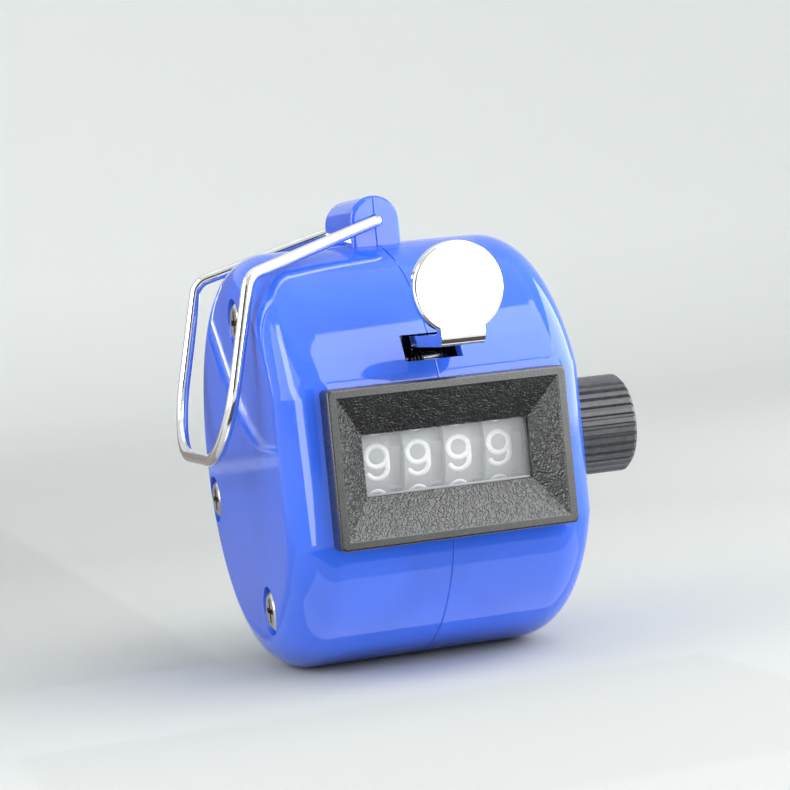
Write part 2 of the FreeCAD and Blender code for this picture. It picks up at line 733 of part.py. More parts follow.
def case_screws():
    """Three cross-recess screws, sunk in the left face, that clamp the shells together."""
    screws = []
    face = "counterbore_depth - drum_half_width"
    outward = FreeCAD.Rotation(Vector(0, 1, 0), -90)
    for y, z in CASE_SCREW_PLACES:
        head = cylinder("case_screw_head", face + " - screw_head_height", "screw_head_height",
                        "screw_head_radius", y, z)
        crown = doc.addObject("Part::Cone", "case_screw_crown")
        crown.setExpression("Radius1", spelled("screw_head_radius"))
        crown.setExpression("Radius2", spelled("screw_head_radius - 0.7"))
        crown.Height = 0.45
        crown.Placement = FreeCAD.Placement(Vector(size(face + " - screw_head_height"), y, z), outward)
        shank = cylinder("case_screw_shank", face + " - 0.2", "20.2", "screw_shank_radius", y, z)
        blank = fuse("case_screw_blank", [head, crown, shank])
        wide = box("cross_wide", (face + " - 2.5", f"{y} - 1.35", f"{z} - 0.3"), (1.9, 2.7, 0.6))
        tall = box("cross_tall", (face + " - 2.5", f"{y} - 0.3", f"{z} - 1.35"), (1.9, 0.6, 2.7))
        screws.append(cut("case_screw", blank, fuse("cross", [wide, tall])))
    compound = doc.addObject("Part::Compound", "case_screws")
    compound.Label = "case_screws"
    compound.Links = screws
    return compound


# ---------------------------------------------------------------- thumb lever
def thumb_lever():
    """Stamped lever: thumb disc, neck, shank through the slot, cross plate and two arms."""
    piece = Piece("thumb_lever")
    disc = piece.sketch("XZ", "disc_face_depth - lever_thickness")
    circle(disc, "0", "disc_height", "disc_radius")
    piece.pad(disc, "lever_thickness")
    face = -size("disc_face_depth")
    piece.fillet("0.35", flat_edge_at("Y", face))
    neck = piece.sketch("XZ", "disc_face_depth - lever_thickness")
    rectangle(neck, "0 - shank_half_width", "shank_height", "shank_half_width", "disc_height - 3")
    piece.pad(neck, "lever_thickness")
    shank = piece.sketch("YZ")
    rectangle(shank, "0 - disc_face_depth", "shank_height", "0 - pivot_depth - 0.8",
              "shank_height + lever_thickness")
    piece.pad(shank, "2 * shank_half_width", both=True)
    piece.fillet("1.05", lambda e: abs(e.BoundBox.XLength - size("2 * shank_half_width")) < 0.01
                 and abs(e.BoundBox.YMin - face) < 0.01 and e.BoundBox.ZMax < size("shank_height") + 0.1)
    bend = piece.sketch("YZ")
    inner = size("shank_height + lever_thickness")
    back = face + size("lever_thickness")
    polygon(bend, [(back - 0.1, inner - 0.1), (back + 0.9, inner - 0.1), (back + 0.3, inner + 0.3),
                   (back - 0.1, inner + 0.9)])
    piece.pad(bend, "2 * shank_half_width", both=True)
    plate = piece.sketch("XY", "shank_height")
    rectangle(plate, "0 - left_arm_inner - arm_thickness", "0 - pivot_depth - 1.0",
              "right_arm_inner + arm_thickness", "2.0 - pivot_depth")
    piece.pad(plate, "lever_thickness")
    for start, turned in (("0 - left_arm_inner", True), ("right_arm_inner", False)):
        arm = piece.sketch("YZ", start)
        polygon(arm, ARM_OUTLINE)
        piece.pad(arm, "arm_thickness", reverse=turned)
        bosses = piece.sketch("YZ", start)
        circle(bosses, "0 - pivot_depth", "pivot_height", "arm_boss_radius")
        piece.pad(bosses, "arm_thickness", reverse=turned)
        foot = piece.sketch("YZ", start)
        circle(foot, "0 - pawl_pin_depth", "0 - pawl_pin_drop", "arm_foot_radius")
        piece.pad(foot, "arm_thickness", reverse=turned)
    tab = piece.sketch("YZ", "0 - left_arm_inner")
    rectangle(tab, -17.9, -9.6, -16.9, -8.8)
    piece.pad(tab, "3.8")
    holes = piece.sketch("YZ")
    circle(holes, "0 - pivot_depth", "pivot_height", "pivot_pin_radius + running_gap")
    circle(holes, "0 - pawl_pin_depth", "0 - pawl_pin_drop", "pawl_pin_radius + press_gap")
    piece.pocket(holes, "4 * right_arm_inner", both=True)
    return piece.place()


def lever_pin():
    """Fixed pin through both plates, with a clip groove outside each."""
    depth, rise = "0 - pivot_depth", "pivot_height"
    pin = cylinder("lever_pin_rod", *between(2.0, 2.0), "pivot_pin_radius", depth, rise)
    grooves = []
    for place in ("0 - left_plate_inner - plate_thickness - 0.6",
                  "right_plate_inner + plate_thickness + 0.1"):
        outer = cylinder("groove_outer", place, "clip_groove_width", "pivot_pin_radius + 1", depth, rise)
        core = cylinder("groove_core", place + " - 1", "2.5", "0.6", depth, rise)
        grooves.append(cut("groove", outer, core))
    return cut("lever_pin", pin, fuse("lever_pin_grooves", grooves))


def pawl_pin():
    """Pin with riveted heads outside the lever's arms."""
    depth, drop = "0 - pawl_pin_depth", "0 - pawl_pin_drop"
    left_end = "0 - left_arm_inner - arm_thickness"
    right_end = "right_arm_inner + arm_thickness"
    length = "left_arm_inner + right_arm_inner + 2 * arm_thickness + 0.2"
    rod = cylinder("pawl_rod", left_end + " - 0.1", length, "pawl_pin_radius", depth, drop)
    heads = [cylinder("pawl_head", start, "pawl_head_height", "pawl_head_radius", depth, drop)
             for start in (left_end + " - pawl_head_height", right_end)]
    return fuse("pawl_pin", [rod] + heads)


def comb_pawl():
    """Barrel on the pawl pin with four stepped prongs, one under each ratchet."""
    piece = Piece("comb_pawl")
    barrel = piece.sketch("YZ", "0.1 - left_arm_inner")
    circle(barrel, "0", "0", "pawl_barrel_radius")
    piece.pad(barrel, "left_arm_inner + right_arm_inner - 0.2")
    for index in range(4):
        prong = piece.sketch("YZ", WHEEL_CENTRES[index] + " + rim_half_width + 0.3")
        lowered = f" - {index} * prong_step"
        polygon(prong, [("4.3", "3.18" + lowered), ("4.95", "2.65" + lowered),
                        (0.7, -0.57), (-0.46, 0.38)])
        piece.pad(prong, "prong_width")
    bore = piece.sketch("YZ", "0.1 - left_arm_inner")
    circle(bore, "0", "0", "pawl_pin_radius + running_gap")
    piece.pocket(bore, "left_arm_inner + right_arm_inner", reverse=True)
    return piece.place(depth="0 - pawl_pin_depth", height="0 - pawl_pin_drop")


# ---------------------------------------------------------------- springs
def tangent_angle(centre, radius, point, arriving):
    """Where a straight leg to or from a point touches a coil that winds from +Y to +Z."""
    away = math.atan2(point[1] - centre[1], point[0] - centre[0])
    spread = math.acos(radius / math.dist(centre, point))
    return away + spread if arriving else away - spread


def torsion_spring(label, start, centre, radius, wire, turns, first_end, last_end):
    """A coil along X from x = start, with two straight legs that end at given (y, z) places."""
    first = tangent_angle(centre, radius, first_end, True)
    last = tangent_angle(centre, radius, last_end, False)
    pitch = 2.3 * wire
    sweep_turns = turns + ((last - first) / (2 * math.pi)) % 1
    helix = Part.makeHelix(pitch, pitch * sweep_turns, radius)
    helix.rotate(Vector(), Vector(0, 0, 1), math.degrees(first))
    helix.rotate(Vector(), Vector(1, 1, 1), 120)
    helix.translate(Vector(start, *centre))
    begin, finish = helix.Edges[0], helix.Edges[-1]
    heads = [(begin.valueAt(begin.FirstParameter), begin.tangentAt(begin.FirstParameter), -1, first_end),
             (finish.valueAt(finish.LastParameter), finish.tangentAt(finish.LastParameter), 1, last_end)]
    legs = []
    for corner, along, sense, end in heads:
        reach = math.dist((corner.y, corner.z), end)
        legs.append((corner, corner + along * (sense * reach)))
    path = Part.Wire([Part.LineSegment(legs[0][1], legs[0][0]).toShape()] + helix.Edges
                     + [Part.LineSegment(*legs[1]).toShape()])
    profile = Part.Wire(Part.Circle(legs[0][1], heads[0][1], wire).toShape())
    return feature(label, swept(path, profile, math.pi * wire**2))


def swept(path, profile, section_area):
    """A solid swept along a path, checked against its section times its length."""
    sweep = Part.BRepOffsetAPI.MakePipeShell(path)
    sweep.setFrenetMode(False)
    sweep.setTransitionMode(1)
    sweep.add(profile)
    sweep.build()
    sweep.makeSolid()
    solid = sweep.shape()
    if abs(solid.Volume / (section_area * path.Length) - 1) > 0.02:
        raise RuntimeError("a sweep has the wrong volume")
    return solid


def lever_return_spring():
    """Winds on the lever pin; one leg under the shank, the other under the tie bar."""
    wire = 0.18
    centre = (-size("pivot_depth"), size("pivot_height"))
    y, z = UPPER_TIE_PLACE
    front = (-size("pivot_depth") - 2.7, size("shank_height") - wire - 0.04)
    rear = (y - 0.3, z - size("tie_radius") - wire - 0.04)
    return torsion_spring("lever_return_spring", -1.5, centre, 1.13, wire, 4, front, rear)


def pawl_spring():
    """Winds on the comb's barrel between a tab of the lever and the last prong."""
    wire = 0.12
    y, z = -size("pawl_pin_depth"), -size("pawl_pin_drop")
    return torsion_spring("pawl_spring", -6.05, (y, z), 1.62, wire, 3,
                          (y - 2.6, z + 0.76), (y + 3.9, z + 1.75 - 3 * size("prong_step")))


def detent_spring():
    """Leaf comb of four fingers whose noses rest in the ratchets' gaps."""
    y, z = DETENT_BAR_PLACE
    thickness = LEAF_THICKNESS
    front = y - size("detent_bar_half")
    base = Part.makeBox(20.0, thickness, 2.6, Vector(-9.4, front - thickness, z - 1.3))
    for x in RIVET_PLACES:
        base = base.cut(Part.makeCylinder(0.62, 2, Vector(x, front - 1, z), Vector(0, 1, 0)))
    nose, rise = -size("shaft_depth") + size("ratchet_tip") - 0.35, size("shaft_height")
    path = [(front - thickness, z + 1.2), (nose + 0.9, rise - 2.1), (nose, rise - 1.2),
            (nose + 0.9, rise - 0.6)]
    outer = [(u + thickness * 1.1, w) for u, w in path]
    comb = base
    for centre in WHEEL_CENTRES:
        x = size(centre + " + rim_half_width + 0.22")
        corners = [Vector(x, u, w) for u, w in path + outer[::-1]]
        finger = Part.Face(Part.makePolygon(corners + corners[:1])).extrude(Vector(1.1, 0, 0))
        comb = comb.fuse(finger)
    return feature("detent_spring", comb.removeSplitter())


# ---------------------------------------------------------------- finger bail
def rounded_path(points, radii):
    """A wire of straight runs joined by tangent arcs of the given radii."""
    edges = []
    start = points[0]
    for before, corner, after, radius in zip(points, points[1:], points[2:], radii):
        inward = (before - corner).normalize()
        onward = (after - corner).normalize()
        half_turn = (math.pi - inward.getAngle(onward)) / 2
        trim = radius * math.tan(half_turn)
        enter, leave = corner + inward * trim, corner + onward * trim
        bisector = (inward + onward).normalize()
        middle = corner + bisector * (radius / math.cos(half_turn) - radius)
        edges.append(Part.LineSegment(start, enter).toShape())
        edges.append(Part.Arc(enter, middle, leave).toShape())
        start = leave
    edges.append(Part.LineSegment(start, points[-1]).toShape())
    return Part.Wire(edges)


def finger_bail():
    """Sprung wire loop: two ends in the lug, legs that splay to the shoulders, then hang."""
    rise = size("bail_axis_height")
    middle = (size("lug_back") - size("lug_front")) / 2
    half_lug = (size("lug_back") + size("lug_front")) / 2
    lean = math.radians(size("bail_leg_lean"))
    shoulder_x = -size("bail_shoulder_reach")
    shoulder_z = rise - size("bail_shoulder_drop")
    foot_x = shoulder_x - size("bail_hang") * math.sin(lean)
    foot_z = shoulder_z - size("bail_hang") * math.cos(lean)
    span = size("bail_half_span")
    near_half = [
        Vector(0, middle - 0.4, rise),
        Vector(0, middle - half_lug - 1.0, rise),
        Vector(shoulder_x, middle - span, shoulder_z),
        Vector(foot_x, middle - span, foot_z),
    ]
    far_half = [Vector(p.x, 2 * middle - p.y, p.z) for p in reversed(near_half)]
    bends = [size(name) for name in ("bail_end_bend", "bail_shoulder_bend", "bail_corner")]
    route = rounded_path(near_half + far_half, bends + bends[::-1])
    radius = size("bail_wire_radius")
    section = Part.Wire(Part.Circle(near_half[0], Vector(0, 1, 0), radius).toShape())
    return feature("finger_bail", swept(route, section, math.pi * radius**2))


# ---------------------------------------------------------------- the assembly
pieces = [
    shell("left_shell", -1),
    shell("right_shell", +1),
    window_bezel(),
    window_lens(),
    frame_plate("left_frame_plate", "left_plate_inner", -1),
    frame_plate("right_frame_plate", "right_plate_inner", +1),
    upper_tie_bar(),
    detent_bar(),
    detent_rivets(),
    detent_spring(),
    frame_screws(),
    case_screws(),
    thumb_lever(),
    lever_pin(),
    clip_group("lever_pin_clips", ["0 - left_plate_inner - plate_thickness - 0.55",
                                   "right_plate_inner + plate_thickness + 0.15"],
               "0.4", "0.62", "1.9", "0 - pivot_depth", "pivot_height"),
    lever_return_spring(),
    pawl_pin(),
    comb_pawl(),
    pawl_spring(),
    reset_shaft(),
    reset_knob(),
    clip_group("shaft_clips", ["0 - left_plate_inner - plate_thickness - 0.6",
                               "right_plate_inner + plate_thickness + 0.6"],
               "0.4", "1.12", "2.7", "0 - shaft_depth", "shaft_height"),
    ring("friction_washer", "right_plate_inner + plate_thickness + 0.05", "0.45", "3.0",
         "shaft_radius + running_gap"),
    ring("wheel_spacer", "0.15 - left_plate_inner", "1.55", "1.95", "shaft_radius + running_gap"),
    finger_bail(),
]
for wheel_index in range(4):
    pieces.append(wheel(wheel_index))
    pieces.append(reset_click(wheel_index))
doc.recompute()

for entry in doc.Objects:
    if "Invalid" in entry.State or "Error" in entry.State:
        raise RuntimeError(f"{entry.Name} did not recompute: {entry.State}")

os.makedirs("parts", exist_ok=True)
for piece in pieces:
    shape = piece.Shape
    if shape.isNull() or not shape.isValid() or not shape.Solids:
        raise RuntimeError(f"{piece.Label} has no valid solid")
    shape.exportStep(f"parts/{piece.Label}.step")
    print(piece.Label, len(shape.Solids), round(shape.Volume, 2))
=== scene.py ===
"""Hand tally counter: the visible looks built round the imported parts.

Frame: metres, X along the wheel shaft with the reset knob at +X, the window faces -Y, +Z is up,
and the origin is the centre of the round case.
"""
import json
import math

import bmesh
import bpy
from mathutils import Matrix, Vector, noise


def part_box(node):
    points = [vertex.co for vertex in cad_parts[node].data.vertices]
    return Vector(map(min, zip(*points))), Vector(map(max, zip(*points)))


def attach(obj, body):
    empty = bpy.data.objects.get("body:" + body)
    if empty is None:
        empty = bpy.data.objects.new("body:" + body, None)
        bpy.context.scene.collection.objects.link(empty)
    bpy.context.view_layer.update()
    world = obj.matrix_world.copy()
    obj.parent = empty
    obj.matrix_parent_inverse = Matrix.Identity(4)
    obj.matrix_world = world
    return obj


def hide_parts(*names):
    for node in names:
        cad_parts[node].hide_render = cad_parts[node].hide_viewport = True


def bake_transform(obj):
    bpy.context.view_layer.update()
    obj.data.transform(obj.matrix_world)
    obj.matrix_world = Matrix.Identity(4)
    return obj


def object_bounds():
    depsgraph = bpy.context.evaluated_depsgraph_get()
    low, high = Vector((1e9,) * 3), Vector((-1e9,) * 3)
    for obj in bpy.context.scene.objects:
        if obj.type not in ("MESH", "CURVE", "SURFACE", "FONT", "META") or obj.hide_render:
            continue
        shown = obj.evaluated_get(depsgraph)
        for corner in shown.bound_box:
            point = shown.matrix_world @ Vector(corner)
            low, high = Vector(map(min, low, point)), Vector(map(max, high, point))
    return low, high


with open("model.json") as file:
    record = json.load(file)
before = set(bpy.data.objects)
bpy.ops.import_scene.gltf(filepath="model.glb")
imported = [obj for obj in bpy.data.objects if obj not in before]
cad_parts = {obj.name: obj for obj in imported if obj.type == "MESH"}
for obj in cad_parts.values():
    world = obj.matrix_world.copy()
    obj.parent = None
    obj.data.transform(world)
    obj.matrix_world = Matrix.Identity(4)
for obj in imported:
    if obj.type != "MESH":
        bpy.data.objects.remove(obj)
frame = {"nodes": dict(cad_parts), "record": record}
cad_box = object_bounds()
nodes = frame["nodes"]

MM = 0.001
TURN = 2 * math.pi


def millimetres(node):
    """Lowest and highest corner of a CAD node in millimetres."""
    low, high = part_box(node)
    return low / MM, high / MM


# ------------------------------------------------------------------ node materials
SOCKETS = {
    "rough": "Roughness", "metal": "Metallic", "ior": "IOR", "alpha": "Alpha",
    "specular": "Specular IOR Level", "coat": "Coat Weight", "coat_rough": "Coat Roughness",
    "scatter": "Subsurface Weight", "scatter_scale": "Subsurface Scale",
    "anisotropy": "Anisotropic",
}


class Look:
    """A Principled material whose patterns are placed in millimetres of the row frame."""

    def __init__(self, name, colour, **values):
        self.material = bpy.data.materials.new(name)
        self.material.use_nodes = True
        tree = self.material.node_tree
        self.nodes, self.links = tree.nodes, tree.links
        self.shader = self.nodes["Principled BSDF"]
        self.shader.inputs["Base Color"].default_value = (*colour, 1)
        for key, value in values.items():
            self.shader.inputs[SOCKETS[key]].default_value = value
        self.where = self.nodes.new("ShaderNodeTexCoord").outputs["Object"]
        self.height = None

    def place(self, stretch=(1, 1, 1)):
        """Object coordinates in millimetres, with each axis multiplied by its own factor."""
        mapping = self.nodes.new("ShaderNodeMapping")
        mapping.inputs["Scale"].default_value = [factor / MM for factor in stretch]
        self.links.new(self.where, mapping.inputs["Vector"])
        return mapping.outputs["Vector"]

    def noise(self, per_mm, detail=3.0, stretch=(1, 1, 1), distortion=0.0):
        node = self.nodes.new("ShaderNodeTexNoise")
        node.inputs["Scale"].default_value = per_mm
        node.inputs["Detail"].default_value = detail
        node.inputs["Distortion"].default_value = distortion
        self.links.new(self.place(stretch), node.inputs["Vector"])
        return node.outputs["Fac"]

    def cells(self, per_mm, feature="F1", stretch=(1, 1, 1)):
        node = self.nodes.new("ShaderNodeTexVoronoi")
        node.feature = feature
        node.inputs["Scale"].default_value = per_mm
        self.links.new(self.place(stretch), node.inputs["Vector"])
        return node.outputs["Distance"]

    def reach(self):
        """Distance from the origin in millimetres."""
        node = self.nodes.new("ShaderNodeVectorMath")
        node.operation = "LENGTH"
        self.links.new(self.place(), node.inputs[0])
        return node.outputs["Value"]

    def spread(self, source, low, high, to_low, to_high):
        """Maps a value from low..high on to to_low..to_high, clamped."""
        node = self.nodes.new("ShaderNodeMapRange")
        for key, value in zip(("From Min", "From Max", "To Min", "To Max"),
                              (low, high, to_low, to_high)):
            node.inputs[key].default_value = value
        self.links.new(source, node.inputs["Value"])
        return node.outputs["Result"]

    def calculate(self, operation, first, second):
        node = self.nodes.new("ShaderNodeMath")
        node.operation = operation
        for socket, value in zip(node.inputs, (first, second)):
            if isinstance(value, (int, float)):
                socket.default_value = value
            else:
                self.links.new(value, socket)
        return node.outputs["Value"]

    def colour(self, source, low, high, first, second):
        """Paints the base colour from first to second as source goes from low to high."""
        ramp = self.nodes.new("ShaderNodeValToRGB")
        ramp.color_ramp.elements[0].position = low
        ramp.color_ramp.elements[0].color = (*first, 1)
        ramp.color_ramp.elements[1].position = high
        ramp.color_ramp.elements[1].color = (*second, 1)
        self.links.new(source, ramp.inputs["Fac"])
        self.links.new(ramp.outputs["Color"], self.shader.inputs["Base Color"])

    def rough(self, source, low, high, to_low, to_high):
        self.links.new(self.spread(source, low, high, to_low, to_high),
                       self.shader.inputs["Roughness"])

    def bump(self, source, depth_mm, strength=1.0):
        """Adds a relief of the given depth on top of any earlier one."""
        node = self.nodes.new("ShaderNodeBump")
        node.inputs["Distance"].default_value = depth_mm * MM
        node.inputs["Strength"].default_value = strength
        self.links.new(source, node.inputs["Height"])
        if self.height is not None:
            self.links.new(self.height, node.inputs["Normal"])
        self.height = node.outputs["Normal"]
        self.links.new(self.height, self.shader.inputs["Normal"])
        return self


def blue_shell():
    """Glossy royal-blue styrene: faint flow marks, handling haze and dust specks."""
    deep, light = (0.027, 0.1, 0.58), (0.032, 0.115, 0.66)
    look = Look("blue_shell", deep, rough=0.08, ior=1.55, scatter=0.12, scatter_scale=1.2 * MM)
    look.shader.inputs["Subsurface Radius"].default_value = (0.15, 0.4, 1.0)
    flow = look.noise(0.09, 2.0, (1, 1, 0.5), 0.6)
    specks = look.spread(look.cells(0.55), 0.035, 0.05, 1.0, 0.0)
    tint = look.calculate("ADD", flow, look.calculate("MULTIPLY", specks, 0.5))
    look.colour(tint, 0.35, 0.65, deep, light)
    haze = look.noise(0.35, 5.0, (1, 1, 1), 0.8)
    look.rough(look.calculate("ADD", haze, specks), 0.45, 0.9, 0.05, 0.16)
    look.bump(look.noise(0.28, 1.5), 0.006)
    look.bump(look.noise(9.0, 2.0), 0.0006)
    return look.material


def black_bezel():
    """Black styrene with a satin spark-eroded skin; the leather grain itself is in the mesh."""
    look = Look("black_bezel", (0.01, 0.01, 0.011), rough=0.3, ior=1.52, specular=0.85)
    patches = look.noise(0.5, 4.0)
    look.colour(patches, 0.3, 0.7, (0.008, 0.008, 0.009), (0.016, 0.016, 0.017))
    look.rough(look.noise(5.0, 3.0), 0.3, 0.7, 0.24, 0.36)
    look.bump(look.noise(14.0, 3.0), 0.004)
    return look.material


def clear_lens():
    """Clear acrylic with a slight milky veil and hairline scratches."""
    look = Look("clear_lens", (0.86, 0.88, 0.9), rough=0.07, ior=1.49, alpha=0.15)
    hairlines = look.noise(1.2, 3.0, (0.15, 1, 6))
    look.rough(hairlines, 0.35, 0.75, 0.04, 0.14)
    look.bump(hairlines, 0.0008)
    return look.material


def lens_edge_painted_highlight():
    """The frosted saw-cut lower edge of the lens, its pale grey a painted highlight for the light the edge
    reflects.
    """
    look = Look("lens_edge_painted_highlight", (0.3, 0.31, 0.33), rough=0.4)
    look.bump(look.noise(6.0, 3.0, (0.3, 1, 1)), 0.01)
    look.rough(look.noise(1.1, 3.0), 0.3, 0.7, 0.34, 0.5)
    return look.material


def wheel_plastic():
    """Grey acetal with turned-looking mould lines round the rim."""
    look = Look("wheel_plastic", (0.3, 0.31, 0.33), rough=0.42)
    lines = look.noise(2.2, 2.0, (6, 0.2, 0.2))
    look.colour(look.noise(0.8, 4.0), 0.3, 0.7, (0.27, 0.28, 0.3), (0.33, 0.34, 0.36))
    look.rough(lines, 0.3, 0.7, 0.36, 0.5)
    look.bump(lines, 0.003)
    return look.material


def figure_white():
    """White hot-stamped foil of the figures."""
    look = Look("figure_white", (0.9, 0.9, 0.9), rough=0.4)
    patches = look.noise(3.0, 4.0)
    look.colour(patches, 0.3, 0.7, (0.92, 0.92, 0.93), (0.98, 0.98, 0.98))
    look.bump(patches, 0.004)
    return look.material


def black_knob():
    """Black styrene knob, satin on the ribs, its black lightened in random patches and lifted as painted
    light from below.
    """
    look = Look("black_knob", (0.05, 0.05, 0.053), rough=0.4, ior=1.5)
    grain = look.noise(7.0, 4.0)
    # painted light: both blacks are lifted above the styrene's own colour to stand in for light from below on
    # the ribs
    look.colour(look.noise(1.5, 5.0), 0.42, 0.75, (0.042, 0.042, 0.045), (0.07, 0.07, 0.074))
    look.rough(grain, 0.3, 0.7, 0.33, 0.48)
    look.bump(grain, 0.004)
    return look.material


def plated(name, colour, stretch, roughness, per_mm=1.4, depth_mm=0.0012):
    """Bright plating over drawn or stamped metal; stretch sets the direction of its lines."""
    look = Look(name, colour, metal=1.0, rough=roughness)
    lines = look.noise(per_mm, 4.0, stretch)
    dark = tuple(channel * 0.9 for channel in colour)
    look.colour(look.noise(0.5, 3.0), 0.3, 0.7, dark, colour)
    look.rough(lines, 0.3, 0.75, roughness * 0.6, roughness * 1.7)
    look.bump(lines, depth_mm)
    return look.material


def washer_fibre():
    look = Look("washer_fibre", (0.6, 0.54, 0.42), rough=0.5, scatter=0.2, scatter_scale=MM)
    look.colour(look.noise(1.5, 5.0), 0.3, 0.7, (0.5, 0.44, 0.33), (0.66, 0.6, 0.48))
    look.bump(look.noise(5.0, 4.0), 0.01)
    return look.material


LOOKS = {
    "blue_shell": blue_shell(),
    "black_bezel": black_bezel(),
    "clear_lens": clear_lens(),
    "wheel_plastic": wheel_plastic(),
    "black_knob": black_knob(),
    "lever_plate": plated("lever_plate", (0.93, 0.92, 0.9), (0.4, 1, 3), 0.07),
    "bail_wire": plated("bail_wire", (0.9, 0.89, 0.87), (1, 3, 1), 0.09),
    "frame_steel": plated("frame_steel", (0.62, 0.62, 0.6), (3, 0.4, 3), 0.3, depth_mm=0.004),
    # the dark shaft steel is partly a blackened finish and partly painted shade on the pins deep inside the
    # case
    "shaft_steel": plated("shaft_steel", (0.2, 0.2, 0.2), (8, 0.3, 0.3), 0.2, depth_mm=0.003),
    "spring_steel": plated("spring_steel", (0.07, 0.07, 0.075), (1, 1, 1), 0.25, 4.0, 0.003),
    "fastener_steel": plated("fastener_steel", (0.75, 0.74, 0.72), (1, 1, 1), 0.16, 3.0, 0.003),
    "washer_fibre": washer_fibre(),
}
FIGURE_WHITE = figure_white()
LENS_EDGE_PAINTED_HIGHLIGHT = lens_edge_painted_highlight()


def dress_cad_nodes():
    """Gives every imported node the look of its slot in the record."""
    for entry in frame["record"]["subparts"]:
        shown = nodes[entry["node"]].data
        shown.materials.clear()
        shown.materials.append(LOOKS[entry["material_slot"]])


# ------------------------------------------------------------------ mesh helpers
def new_piece(name, mesh, material, body, smooth=True):
    """Puts a bmesh, built in millimetres, into the scene on a CAD body, if one is named."""
    bmesh.ops.scale(mesh, vec=(MM, MM, MM), verts=mesh.verts)
    bmesh.ops.recalc_face_normals(mesh, faces=mesh.faces)
    data = bpy.data.meshes.new(name)
    mesh.to_mesh(data)
    mesh.free()
    data.materials.append(material)
    for face in data.polygons:
        face.use_smooth = smooth
    made = bpy.data.objects.new(name, data)
    bpy.context.scene.collection.objects.link(made)
    if body:
        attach(made, body)
    return made


def bridge(mesh, first, second, closed=True):
    """Quads between two rows of vertices of equal length."""
    count = len(first)
    for index in range(count if closed else count - 1):
        following = (index + 1) % count
        mesh.faces.new((first[index], first[following], second[following], second[index]))


# ------------------------------------------------------------------ figures on the wheels
# A stroke is ("arc", centre x, centre y, radius x, radius y, from, to) or ("line", points...),
# in parts of half the figure's height, with angles in degrees anticlockwise from +x.
LOOP, HALF = 0.65, 0.38
FIGURES = {
    0: [("arc", 0, HALF, LOOP, LOOP, 0, 180), ("line", (-LOOP, HALF), (-LOOP, -HALF)),
        ("arc", 0, -HALF, LOOP, LOOP, 180, 360), ("line", (LOOP, -HALF), (LOOP, HALF))],
    1: [("line", (-0.32, 0.62), (0.05, 1.0), (0.05, -1.0))],
    2: [("arc", 0, HALF, LOOP, LOOP, 160, -25), ("line", (0.53, 0.17), (-0.58, -1.0), (0.6, -1.0))],
    3: [("arc", 0, 0.5, 0.52, 0.5, 150, -90), ("arc", 0, -0.5, LOOP, 0.5, 90, -150)],
    4: [("line", (0.62, -0.42), (-0.62, -0.42), (0.22, 1.0), (0.22, -1.0))],
    5: [("line", (0.5, 1.0), (-0.4, 1.0), (-0.5, 0.12)), ("arc", 0, -0.36, LOOP, 0.62, 140, -140)],
    6: [("arc", 0, -HALF, LOOP, LOOP, 0, 360), ("line", (-LOOP, -HALF), (-LOOP, HALF)),
        ("arc", 0, HALF, LOOP, LOOP, 180, 31)],
    7: [("line", (-0.56, 1.0), (0.56, 1.0), (-0.12, -1.0))],
    8: [("arc", 0, 0.5, 0.5, 0.48, 0, 360), ("arc", 0, -0.48, LOOP, 0.52, 0, 360)],
    9: [("arc", 0, HALF, LOOP, LOOP, 0, 360), ("line", (LOOP, HALF), (LOOP, -HALF)),
        ("arc", 0, -HALF, LOOP, LOOP, 0, -149)],
}
FIGURE_HALF_HEIGHT = 1.8
STROKE = 0.59
FIGURE_RELIEF = 0.03
SHOWN_FIGURE = 9
RIM_WIDTH = 3.1


def stroke_points(stroke):
    """The centre line of one stroke in millimetres from the figure's centre."""
    if stroke[0] == "line":
        raw = []
        for start, end in zip(stroke[1:], stroke[2:]):
            raw += [Vector(start).lerp(Vector(end), step / 6) for step in range(6)]
        raw.append(Vector(stroke[-1]))
    else:
        _, across, up, wide, tall, begin, finish = stroke
        count = max(8, round(abs(finish - begin) / 9))
        raw = []
        for step in range(count + 1):
            angle = math.radians(begin + (finish - begin) * step / count)
            raw.append(Vector((across + wide * math.cos(angle), up + tall * math.sin(angle))))
    return [point * FIGURE_HALF_HEIGHT for point in raw]


def ribbon_outline(points):
    """Left and right edges of a stroke of constant width."""
    left, right = [], []
    for index, point in enumerate(points):
        before = points[max(index - 1, 0)]
        after = points[min(index + 1, len(points) - 1)]
        along = (after - before).normalized()
        aside = Vector((-along.y, along.x)) * STROKE / 2
        left.append(point + aside)
        right.append(point - aside)
    return left, right


def round_cap(point, along):
    """Half-circle of points that closes a stroke's end, from its left edge to its right."""
    start = math.atan2(along.y, along.x) + math.pi / 2
    return [point + Vector((math.cos(start - math.pi * step / 6), math.sin(start - math.pi * step / 6)))
            * STROKE / 2 for step in range(7)]


def add_patch(mesh, flat, wrap):
    """A closed raised patch over an outline of paired points, wrapped on the rim."""
    top = [[mesh.verts.new(wrap(p, FIGURE_RELIEF)) for p in row] for row in flat]
    foot = [[mesh.verts.new(wrap(p, -FIGURE_RELIEF)) for p in row] for row in flat]
    for rows, flip in ((top, False), (foot, True)):
        for first, second in zip(rows, rows[1:]):
            if flip:
                first, second = second, first
            bridge(mesh, first, second, closed=False)
    ring_top = top[0] + [row[-1] for row in top[1:-1]] + top[-1][::-1] + [r[0] for r in top[-2:0:-1]]
    ring_foot = foot[0] + [row[-1] for row in foot[1:-1]] + foot[-1][::-1] + [r[0] for r in foot[-2:0:-1]]
    bridge(mesh, ring_foot, ring_top)


